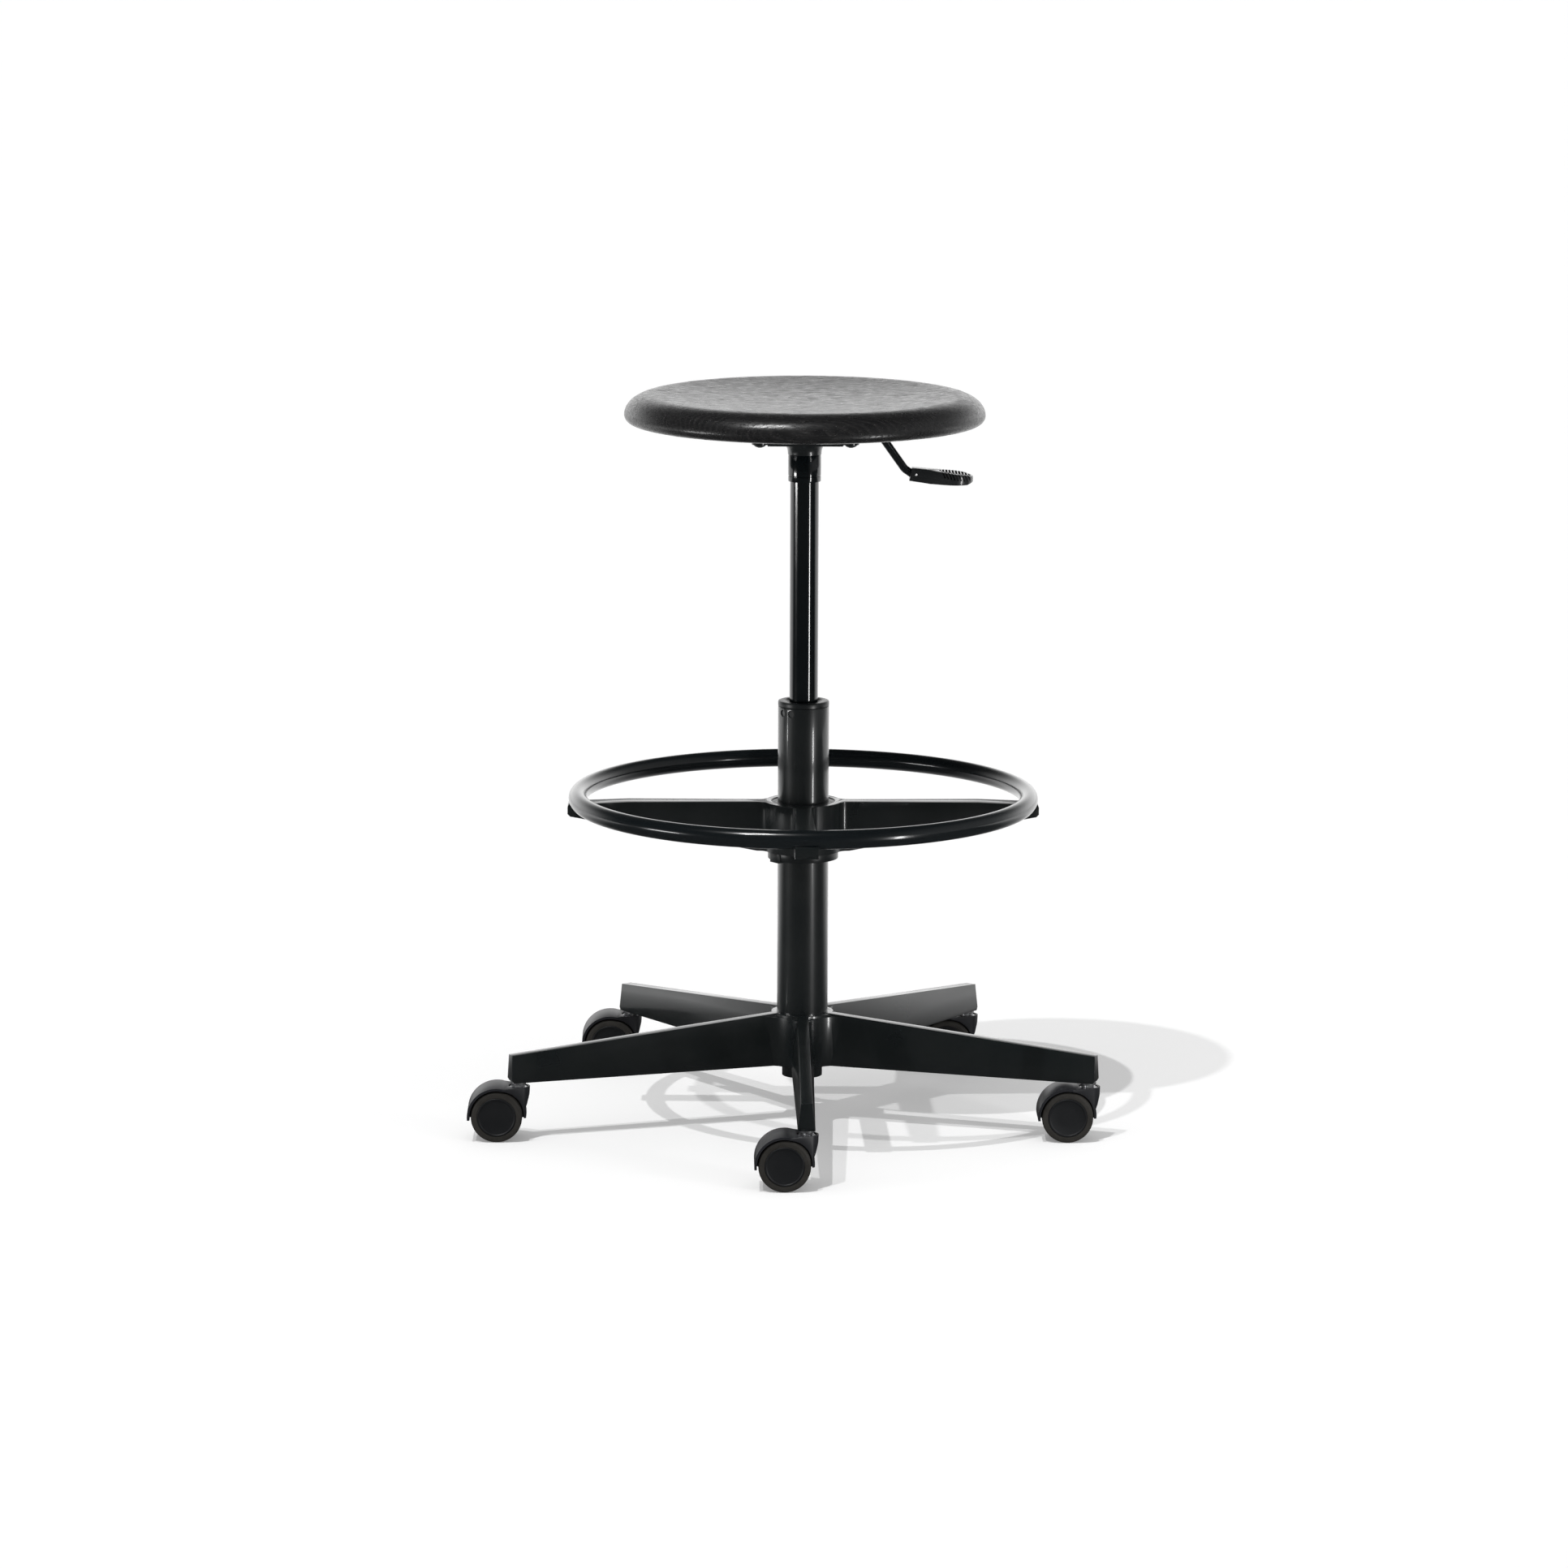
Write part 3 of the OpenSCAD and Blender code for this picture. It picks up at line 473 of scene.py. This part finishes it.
def buildNeck():
    low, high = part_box("neck_sleeve")
    radius, bottom = high.x / mm, low.z / mm
    cylLow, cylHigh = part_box("gas_cylinder")
    bore, shoulder = cylHigh.x / mm + 0.02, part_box("seat_plate")[0].z / mm
    groove, width, depth = bottom + neckShape["groove"], neckShape["grooveWidth"], neckShape["grooveDepth"]
    profile = [(bore, bottom), (radius - 0.7, bottom), (radius - 0.2, bottom + 0.2), (radius, bottom + 0.7),
               (radius, groove - width / 2), (radius - depth, groove - width / 4),
               (radius - depth, groove + width / 4), (radius, groove + width / 2), (radius, shoulder - 0.6),
               (radius - 0.3, shoulder - 0.1), (radius - neckShape["step"], shoulder),
               (radius - neckShape["step"], high.z / mm), (bore, high.z / mm), (bore, bottom)]
    sleeve = turnedShape("neckSleeveLacquered", profile, 96, hollow=True)
    fitPiece(sleeve, finishes["gloss"], "neck_sleeve")
    profile = [(cylHigh.x / mm - 0.8, cylLow.z / mm), (cylHigh.x / mm, cylLow.z / mm + 0.8),
               (cylHigh.x / mm, bottom + 4.9), (cylHigh.x / mm - 0.8, cylHigh.z / mm - 0.4),
               (cylHigh.x / mm - 1.2, cylHigh.z / mm), (6.0, cylHigh.z / mm), (6.0, cylHigh.z / mm - 14),
               (12.0, cylHigh.z / mm - 14), (12.0, cylLow.z / mm), (cylHigh.x / mm - 0.8, cylLow.z / mm)]
    cylinder = turnedShape("gasCylinderLacquered", profile, 96, hollow=True)
    fitPiece(cylinder, finishes["gloss"], "gas_cylinder")


buildSeatPlate()
buildScrews()
buildNeck()
print("plate, neck and cylinder built")


# ---- lever

leverShape = {"radius": 4.0, "bendX": 71.8, "bendTurn": 54.5, "bendRadius": 12.0, "drop": 36.0,
              "kickTurn": 20.0, "kickRadius": 10.0, "kickReach": 10.0,
              "ribs": 9, "ribPitch": 3.15, "ribFirst": 133.2, "ribWidth": 1.5,
              "spoonX": 147.0, "spoonRadius": 17.0,
              "notchWidth": 1.5, "notchDepth": 1.5, "notchHeight": 8.0, "notchLean": -24.0,
              "notchDrop": 7.0, "edgeTaper": 0.36, "faceSlope": 8.3, "faceDrop": 4.9,
              "pocketX": 146.4, "pocketHalf": (15.6, 13.2), "pocketDepth": 2.0}


def buildLeverRod():
    low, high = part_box("lever_rod")
    shape = leverShape
    height = high.z - shape["radius"] * mm
    tangent = shape["bendRadius"] * math.tan(math.radians(shape["bendTurn"] / 2))
    bendStart = (shape["bendX"] - tangent) * mm
    leaveEditing()
    bpy.ops.mesh.primitive_circle_add(vertices=32, radius=shape["radius"] * mm, location=(low.x, 0, height),
                                      rotation=(0, math.radians(90), 0), fill_type="NGON")
    rod = bpy.context.object
    bpy.ops.object.transform_apply(location=True, rotation=True, scale=True)
    bpy.ops.object.mode_set(mode="EDIT")
    bpy.ops.mesh.select_mode(type="FACE")
    bpy.ops.mesh.select_all(action="SELECT")
    bpy.ops.mesh.extrude_region_move(TRANSFORM_OT_translate={"value": (bendStart - low.x, 0, 0)})
    bpy.ops.mesh.spin(steps=12, angle=math.radians(shape["bendTurn"]),
                      center=(bendStart, 0, height - shape["bendRadius"] * mm), axis=(0, -1, 0))
    way = math.radians(shape["bendTurn"])
    reach = shape["drop"] * mm
    bpy.ops.mesh.extrude_region_move(
        TRANSFORM_OT_translate={"value": (reach * math.cos(way), 0, -reach * math.sin(way))})
    # second bend, the other way, towards the paddle
    ahead = Vector((math.cos(way), 0, -math.sin(way)))
    up = Vector((math.sin(way), 0, math.cos(way)))
    bendCentre = Vector((bendStart, 0, height - shape["bendRadius"] * mm))
    end = bendCentre + up * shape["bendRadius"] * mm + ahead * reach
    bpy.ops.mesh.spin(steps=6, angle=math.radians(shape["kickTurn"]),
                      center=end + up * shape["kickRadius"] * mm, axis=(0, 1, 0))
    way -= math.radians(shape["kickTurn"])
    reach = shape["kickReach"] * mm
    bpy.ops.mesh.extrude_region_move(
        TRANSFORM_OT_translate={"value": (reach * math.cos(way), 0, -reach * math.sin(way))})
    tidyMesh(rod, 40)
    rod.name = "leverRodBent"
    fitPiece(rod, finishes["tube"], "lever_rod")


def buildPaddle():
    shape = leverShape
    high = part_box("lever_paddle")[1]
    paddle = castCopy("leverPaddleRibbed", "lever_paddle", 0.7, 2, angle=40)
    # the pressing face slopes down to the tip, and its pocket follows it
    slope = math.radians(shape["faceSlope"])
    faceHeight = high.z - shape["faceDrop"] * mm
    leaveEditing()
    bpy.ops.mesh.primitive_cylinder_add(vertices=64, radius=1, depth=shape["pocketDepth"] * 2 * mm,
                                        location=(shape["pocketX"] * mm, 0, faceHeight + 0.0003),
                                        rotation=(0, slope, 0))
    pocket = bpy.context.object
    pocket.scale = (shape["pocketHalf"][0] * mm, shape["pocketHalf"][1] * mm, 1)
    bpy.ops.object.transform_apply(location=True, rotation=True, scale=True)
    cutAway(paddle, pocket)
    # the gaps between the ribs run on over both edges as leaning notches
    for i in range(shape["ribs"]):
        x = shape["ribFirst"] + (i + 0.5) * shape["ribPitch"]
        past = x - shape["spoonX"]
        edge = shape["spoonRadius"] + shape["edgeTaper"] * past
        if past > 0:
            edge = math.sqrt(max(1, shape["spoonRadius"] ** 2 - past ** 2))
        for side in (-1, 1):
            leaveEditing()
            bpy.ops.mesh.primitive_cube_add(
                size=1, location=(x * mm, side * (edge + 1.0 - shape["notchDepth"] / 2) * mm,
                                  high.z - shape["notchDrop"] * mm - past * math.tan(slope) * mm),
                rotation=(0, math.radians(shape["notchLean"]), 0))
            notch = bpy.context.object
            notch.scale = (shape["notchWidth"] * mm, (shape["notchDepth"] + 2.0) * mm,
                           shape["notchHeight"] * mm)
            bpy.ops.object.transform_apply(location=True, rotation=True, scale=True)
            cutAway(paddle, notch)
    ribs = []
    for i in range(shape["ribs"]):
        x = shape["ribFirst"] + i * shape["ribPitch"]
        across = (x - shape["pocketX"]) / shape["pocketHalf"][0]
        half = shape["pocketHalf"][1] * math.sqrt(max(0.02, 1 - across * across)) + 0.3
        drop = (x - shape["pocketX"]) * math.tan(slope)
        leaveEditing()
        bpy.ops.mesh.primitive_cube_add(size=1, location=(x * mm, 0, faceHeight - 0.0006 - drop * mm),
                                        rotation=(0, slope, 0))
        rib = bpy.context.object
        rib.scale = (shape["ribWidth"] * mm, 2 * half * mm, 1.9 * mm)
        bpy.ops.object.transform_apply(location=True, rotation=True, scale=True)
        roundEdges(rib, 0.6, 3)
        ribs.append(rib)
    joinPieces("leverPaddleRibbed", paddle, *ribs)
    workOn(paddle)
    bpy.ops.object.shade_smooth_by_angle(angle=math.radians(32))
    fitPiece(paddle, finishes["lever"], "lever_paddle")


buildLeverRod()
buildPaddle()
print("lever built")


# ---- column

columnShape = {"dimpleRadius": 3.4, "dimpleDepth": 1.2, "dimpleDrop": 5.5,
               "dimpleTurns": (-146, -120.5, 34, 59.5), "wall": 2.0, "edge": 0.6}


def buildColumn():
    low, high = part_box("column_tube")
    radius, bottom, top = high.x / mm, low.z / mm, high.z / mm
    inner, edge = radius - columnShape["wall"], columnShape["edge"]
    profile = [(inner, bottom), (radius - edge, bottom), (radius, bottom + edge)]
    profile += [(radius, bottom + (top - bottom) * i / 6) for i in range(1, 6)]
    profile += [(radius, top - edge), (radius - edge * 0.3, top - edge * 0.3), (radius - edge, top),
                (inner, top), (inner, bottom)]
    tube = turnedShape("columnTubePainted", profile, 144, hollow=True)
    for turn in columnShape["dimpleTurns"]:
        a = math.radians(turn)
        reach = radius - columnShape["dimpleDepth"] + 2.0
        leaveEditing()
        bpy.ops.mesh.primitive_cylinder_add(
            vertices=40, radius=columnShape["dimpleRadius"] * mm, depth=4 * mm,
            location=(reach * math.cos(a) * mm, reach * math.sin(a) * mm,
                      (top - columnShape["dimpleDrop"]) * mm),
            rotation=(0, math.radians(90), a))
        cutter = bpy.context.object
        cutAway(tube, cutter)
    workOn(tube)
    bpy.ops.object.shade_smooth_by_angle(angle=math.radians(32))
    fitPiece(tube, finishes["powder"], "column_tube")


def buildGuideBush():
    low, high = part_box("guide_bush")
    radius, top = high.x / mm, high.z / mm
    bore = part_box("gas_cylinder")[1].x / mm + 0.08
    inside = radius - columnShape["wall"]
    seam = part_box("column_tube")[1].z / mm
    profile = [(bore, low.z / mm), (inside, low.z / mm), (inside, seam + 0.05), (radius - 0.5, seam + 0.1),
               (radius, seam + 0.5), (radius, top - 1.2), (radius - 0.35, top - 0.35), (radius - 1.2, top),
               (bore + 4.6, top), (bore + 4.0, top - 0.3), (bore + 0.4, top - 2.1), (bore, top - 2.4),
               (bore, low.z / mm)]
    bush = turnedShape("guideBushFlange", profile, 128, hollow=True)
    fitPiece(bush, finishes["bush"], "guide_bush")


buildColumn()
buildGuideBush()
print("column built")


# ---- footring

def buildFootring():
    low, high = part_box("footring_tube")
    minor = (high.z - low.z) / 2
    major = high.x - minor
    leaveEditing()
    bpy.ops.mesh.primitive_torus_add(location=(0, 0, (high.z + low.z) / 2), major_segments=288,
                                     minor_segments=36, major_radius=major, minor_radius=minor)
    tube = bpy.context.object
    bpy.ops.object.transform_apply(location=True, rotation=True, scale=True)
    tube.name = "footringTubeBent"
    bpy.ops.object.shade_smooth()
    fitPiece(tube, finishes["tube"], "footring_tube")
    spider = castCopy("footringSpiderCasting", "footring_spider", 1.2, 3)
    fitPiece(spider, finishes["powder"], "footring_spider")
    bush = castCopy("footringBushMoulded", "footring_bush", 0.5, 2)
    fitPiece(bush, finishes["bush"], "footring_bush")


buildFootring()
print("footring built")


# ---- base

def buildBase():
    base = castCopy("baseStarCasting", "base_star", 1.5, 3)
    fitPiece(base, finishes["powder"], "base_star")


buildBase()
print("base built")


# ---- casters: one of each is made at the origin and copied to its arm

casterShape = {"wheel": 25.0, "core": 19.0, "trail": 20.8, "halfWidth": 20.5, "inner": 5.6, "teeth": 30,
               "armFoot": 56.5}


def copyTo(ob, name, place):
    workOn(ob)
    bpy.ops.object.duplicate()
    made = bpy.context.object
    made.name = name
    made.data.name = name
    return setDown(made, place=place)


def buildCasters():
    shape = casterShape
    r, core, half = shape["wheel"], shape["core"], shape["halfWidth"]
    inner = shape["inner"]
    discProfile = [(3.1, inner), (core - 0.05, inner), (core - 0.05, half - 0.5), (core - 0.5, half - 0.15),
                   (core - 1.4, half - 0.15), (core - 1.9, half - 0.7), (core - 2.6, half - 0.9),
                   (8.0, half - 0.9), (0, half - 0.9)]
    disc = turnedShape("wheelDisc", discProfile, 96)
    treadProfile = [(core, inner + 0.4), (r - 1.6, inner + 0.4)]
    treadProfile += arcPoints((r - 1.4, inner + 1.8), (1.4, 1.4), -70, 0, 4)
    treadProfile += arcPoints((r - 2.6, half - 2.6), (2.6, 2.6), 0, 80, 8)
    treadProfile += [(core + 1.2, half - 0.05), (core + 0.35, half - 0.2), (core, half - 0.8),
                     (core, inner + 0.4)]
    tread = turnedShape("wheelTread", treadProfile, 128, hollow=True)
    stemLow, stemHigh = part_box("caster1_stem")
    stemX, stemY = (stemLow.x + stemHigh.x) / 2, (stemLow.y + stemHigh.y) / 2
    hood = castCopy("hood", "caster1_housing", 0.6, 3, angle=40)
    setDown(hood, place=(-stemX / mm, -stemY / mm, 0))
    armFoot = shape["armFoot"]
    stemProfile = [(4.5, 33.0), (4.5, 50.5), (8.6, 50.5), (8.6, 51.7), (5.2, 52.0), (5.2, armFoot - 2.4),
                   (7.4, armFoot - 2.3), (7.6, armFoot - 1.9), (7.6, armFoot), (5.0, armFoot),
                   (5.0, armFoot + 17.5), (0, armFoot + 18)]
    stem = turnedShape("stem", stemProfile, 60)
    leaveEditing()
    bpy.ops.mesh.primitive_cylinder_add(vertices=shape["teeth"] * 2, radius=6.9 * mm, depth=2.2 * mm,
                                        location=(0, 0, (armFoot - 3.2) * mm))
    washer = bpy.context.object
    bpy.ops.object.transform_apply(location=True, rotation=True, scale=True)
    for vertex in washer.data.vertices:
        turn = round(math.atan2(vertex.co.y, vertex.co.x) / math.pi * shape["teeth"])
        if turn % 2:
            vertex.co.x *= 0.9
            vertex.co.y *= 0.9
    stem = joinPieces("stem", stem, washer)
    for i in range(1, 6):
        low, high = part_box(f"caster{i}_stem")
        spot = ((low.x + high.x) / 2 / mm, (low.y + high.y) / 2 / mm, 0)
        fitPiece(copyTo(hood, f"caster{i}Hood", spot), finishes["hood"], f"caster{i}_housing")
        fitPiece(copyTo(stem, f"caster{i}Stem", spot), finishes["chrome"], f"caster{i}_stem")
        for side, turn in (("left", 90), ("right", -90)):
            for ob, kind, node in ((disc, "Disc", "wheel"), (tread, "Tread", "tyre")):
                piece = copyTo(ob, f"caster{i}{side.title()}{kind}", (0, 0, 0))
                setDown(piece, turn=(turn, 0, 0), place=(spot[0] - shape["trail"], spot[1], r))
                fitPiece(piece, finishes["wheel" if kind == "Disc" else "tread"], f"caster{i}_{node}_{side}")
        cadNodes[f"caster{i}_axle"].data.materials.clear()
        cadNodes[f"caster{i}_axle"].data.materials.append(finishes["steel"])
    for ob in (disc, tread, hood, stem):
        bpy.data.objects.remove(ob)


buildCasters()
print("casters built")


# ---- floor, light and camera

stageLight = {"fill": 0.47, "floorGlow": 0.19, "backSheen": 1.5, "frontSheen": 0.03, "sideSheen": 0.25,
              "suns": (("nearSun", 229.0, 70.4, 1.0, 0.45), ("farSun", 226.0, 61.0, 0.75, 0.9)),
              # both end below the top of the fully lowered seat, so that it doesn't mirror them
              "strips": (("rightStrip", (0.98, -1.05, 0.25), (0.10, 0.5), 4.7),
                         ("leftPanel", (-2.4, -0.9, 0.41), (0.8, 0.18), 10.0))}


# the floor and the room look pale, but mirror as a dim studio with a bright back wall
def studioRays(tree):
    rays = tree.nodes.new("ShaderNodeLightPath")
    return rays.outputs["Is Glossy Ray"]


def buildStage():
    leaveEditing()
    bpy.ops.mesh.primitive_plane_add(size=120, location=(0, 20, 0))
    floor = bpy.context.object
    floor.name = "studioFloor"
    bpy.ops.object.transform_apply(location=True, rotation=True, scale=True)
    material, tree, shader, vector = newFinish("paleFloor")
    # mirrored, the floor is dark near the stool and bright towards the back wall
    split = tree.nodes.new("ShaderNodeSeparateXYZ")
    tree.links.new(vector, split.inputs[0])
    away = spread(tree, split.outputs["Y"], 0.045, 1.0, 0.2, 0.9)
    tone = tree.nodes.new("ShaderNodeMix")
    tone.inputs["A"].default_value = 0.86
    tree.links.new(studioRays(tree), tone.inputs["Factor"])
    tree.links.new(away, tone.inputs["B"])
    tone = tone.outputs["Result"]
    tree.links.new(tone, shader.inputs["Base Color"])
    tree.links.new(tone, shader.inputs["Emission Color"])
    shader.inputs["Roughness"].default_value = 0.95
    shader.inputs["Specular IOR Level"].default_value = 0.0
    shader.inputs["Emission Strength"].default_value = stageLight["floorGlow"]
    floor.data.materials.append(material)

    world = bpy.data.worlds.new("studio")
    bpy.context.scene.world = world
    world.use_nodes = True
    tree = world.node_tree
    background = tree.nodes["Background"]
    place = tree.nodes.new("ShaderNodeTexCoord")
    split = tree.nodes.new("ShaderNodeSeparateXYZ")
    tree.links.new(place.outputs["Generated"], split.inputs[0])
    back = addNode(tree, "ShaderNodeMapRange", {"interpolation_type": "SMOOTHSTEP"}, i1=0.25, i2=0.9,
                   i3=stageLight["frontSheen"], i4=stageLight["backSheen"])
    tree.links.new(split.outputs["Y"], back.inputs[0])
    # the bright wall ends low, so only level reflections reach it
    rise = addNode(tree, "ShaderNodeMapRange", {"interpolation_type": "SMOOTHSTEP"}, i1=0.15, i2=0.56,
                   i3=1.0, i4=0.03)
    tree.links.new(split.outputs["Z"], rise.inputs[0])
    wall = addNode(tree, "ShaderNodeMath", {"operation": "MULTIPLY"})
    tree.links.new(back.outputs[0], wall.inputs[0])
    tree.links.new(rise.outputs[0], wall.inputs[1])
    side = addNode(tree, "ShaderNodeMapRange", {"interpolation_type": "SMOOTHSTEP"}, i1=0.35, i2=0.95,
                   i3=0.0, i4=stageLight["sideSheen"])
    tree.links.new(split.outputs["X"], side.inputs[0])
    sheen = addNode(tree, "ShaderNodeMath", {"operation": "ADD"})
    tree.links.new(wall.outputs[0], sheen.inputs[0])
    tree.links.new(side.outputs[0], sheen.inputs[1])
    glow = tree.nodes.new("ShaderNodeMix")
    glow.inputs["A"].default_value = stageLight["fill"]
    tree.links.new(studioRays(tree), glow.inputs["Factor"])
    tree.links.new(sheen.outputs[0], glow.inputs["B"])
    # seen directly, past the end of the floor, the room is as pale as the floor
    seen = tree.nodes.new("ShaderNodeMix")
    seen.inputs["B"].default_value = 1.0
    tree.links.new(tree.nodes.new("ShaderNodeLightPath").outputs["Is Camera Ray"], seen.inputs["Factor"])
    tree.links.new(glow.outputs["Result"], seen.inputs["A"])
    tree.links.new(seen.outputs["Result"], background.inputs["Strength"])
    background.inputs["Color"].default_value = (1, 1, 1, 1)

    for name, turn, height, power, width in stageLight["suns"]:
        turn, height = math.radians(turn), math.radians(height)
        way = Vector((math.cos(turn) * math.cos(height), math.sin(turn) * math.cos(height), math.sin(height)))
        bpy.ops.object.light_add(type="SUN", location=way * 4)
        sun = bpy.context.object
        sun.name = name
        sun.rotation_euler = way.to_track_quat("Z", "Y").to_euler()
        sun.data.energy = power
        sun.data.angle = math.radians(width)

    for name, place, size, power in stageLight["strips"]:
        bpy.ops.object.light_add(type="AREA", location=place)
        lamp = bpy.context.object
        lamp.name = name
        lamp.data.shape = "RECTANGLE"
        lamp.data.size, lamp.data.size_y = size
        lamp.data.energy = power
        lamp.rotation_euler = (Vector(place) - Vector((0, 0, place[2]))).to_track_quat("Z", "Y").to_euler()
        lamp.visible_camera = False


cameraView = {"place": (-0.1012, -6.4406, 1.51827), "yaw": 0.01278, "pitch": 0.18165, "roll": 0.003834,
              "lens": 153.25}


def placeCamera():
    leaveEditing()
    turn = (Matrix.Rotation(-cameraView["yaw"], 3, "Z")
            @ Matrix.Rotation(math.pi / 2 - cameraView["pitch"], 3, "X")
            @ Matrix.Rotation(cameraView["roll"], 3, "Z"))
    bpy.ops.object.camera_add(location=cameraView["place"], rotation=turn.to_euler())
    camera = bpy.context.object
    camera.name = "frontCamera"
    camera.data.lens = cameraView["lens"]
    camera.data.sensor_width = 36
    camera.data.clip_end = 200
    bpy.context.scene.camera = camera


buildStage()
placeCamera()
bpy.context.scene.view_settings.view_transform = "Standard"
bpy.context.scene.view_settings.look = "None"
